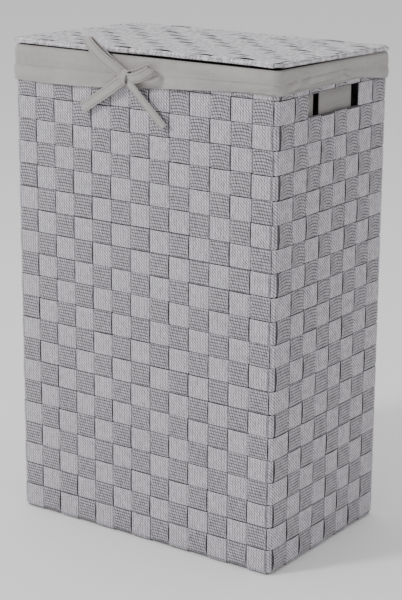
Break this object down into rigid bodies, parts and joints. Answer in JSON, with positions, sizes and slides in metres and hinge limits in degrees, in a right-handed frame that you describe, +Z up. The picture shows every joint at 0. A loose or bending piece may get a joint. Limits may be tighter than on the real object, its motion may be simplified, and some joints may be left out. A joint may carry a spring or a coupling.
{
  "type": "laundry hamper with lid",
  "caption": "Tall rectangular woven-strap laundry hamper with a cloth liner folded over its rim, a tied drawstring bow, side hand holes and a hinged woven lid.",
  "frame": {"origin": "on the floor under the middle of the woven body", "axes": "+X to the right along the front, +Y from the front to the hinge side at the back, +Z up"},
  "size_m": [0.406, 0.2698, 0.6463],
  "materials": {
    "woven_strap": "matte woven polypropylene and cotton-look strap, light grey",
    "liner_cloth": "plain-weave cotton blend cloth, warm grey",
    "drawstring_tape": "folded and edge-stitched tape of the liner cloth, warm grey",
    "frame_wire": "grey powder-coated steel wire"
  },
  "bodies": {
    "hamper_body": {"front_back_strap_01": "woven_strap", "front_back_strap_02": "woven_strap", "front_back_strap_03": "woven_strap", "front_back_strap_04": "woven_strap", "front_back_strap_05": "woven_strap", "front_back_strap_06": "woven_strap", "front_back_strap_07": "woven_strap", "front_back_strap_08": "woven_strap", "front_back_strap_09": "woven_strap", "front_back_strap_10": "woven_strap", "front_back_strap_11": "woven_strap", "front_back_strap_12": "woven_strap", "front_back_strap_13": "woven_strap", "side_to_side_strap_01": "woven_strap", "side_to_side_strap_02": "woven_strap", "side_to_side_strap_03": "woven_strap", "side_to_side_strap_04": "woven_strap", "side_to_side_strap_05": "woven_strap", "side_to_side_strap_06": "woven_strap", "side_to_side_strap_07": "woven_strap", "side_to_side_strap_08": "woven_strap", "left_handle_bar_wraps": "woven_strap", "right_handle_bar_wraps": "woven_strap", "hoop_strap_01": "woven_strap", "hoop_strap_02": "woven_strap", "hoop_strap_03": "woven_strap", "hoop_strap_04": "woven_strap", "hoop_strap_05": "woven_strap", "hoop_strap_06": "woven_strap", "hoop_strap_07": "woven_strap", "hoop_strap_08": "woven_strap", "hoop_strap_09": "woven_strap", "hoop_strap_10": "woven_strap", "hoop_strap_11": "woven_strap", "hoop_strap_12": "woven_strap", "hoop_strap_13": "woven_strap", "hoop_strap_14": "woven_strap", "hoop_strap_15": "woven_strap", "hoop_strap_16": "woven_strap", "hoop_strap_17": "woven_strap", "hoop_strap_18": "woven_strap", "hoop_strap_19": "woven_strap", "hoop_strap_20": "woven_strap", "hoop_strap_21": "woven_strap", "top_rim_wire": "frame_wire", "base_rim_wire": "frame_wire", "front_left_corner_post": "frame_wire", "front_right_corner_post": "frame_wire", "back_left_corner_post": "frame_wire", "back_right_corner_post": "frame_wire", "liner_bag": "liner_cloth", "liner_cuff": "liner_cloth", "drawstring_tape": "drawstring_tape", "drawstring_bow": "drawstring_tape"},
    "lid": {"lid_frame_wire": "frame_wire", "lid_cross_straps": "woven_strap", "lid_long_straps": "woven_strap"}
  },
  "joints": [
    {"name": "lid_hinge", "type": "hinge", "parent": "hamper_body", "child": "lid", "pos_m": [0, 0.1279, 0.6279], "axis": [-1, 0, 0], "range_deg": [0, 200]}
  ]
}
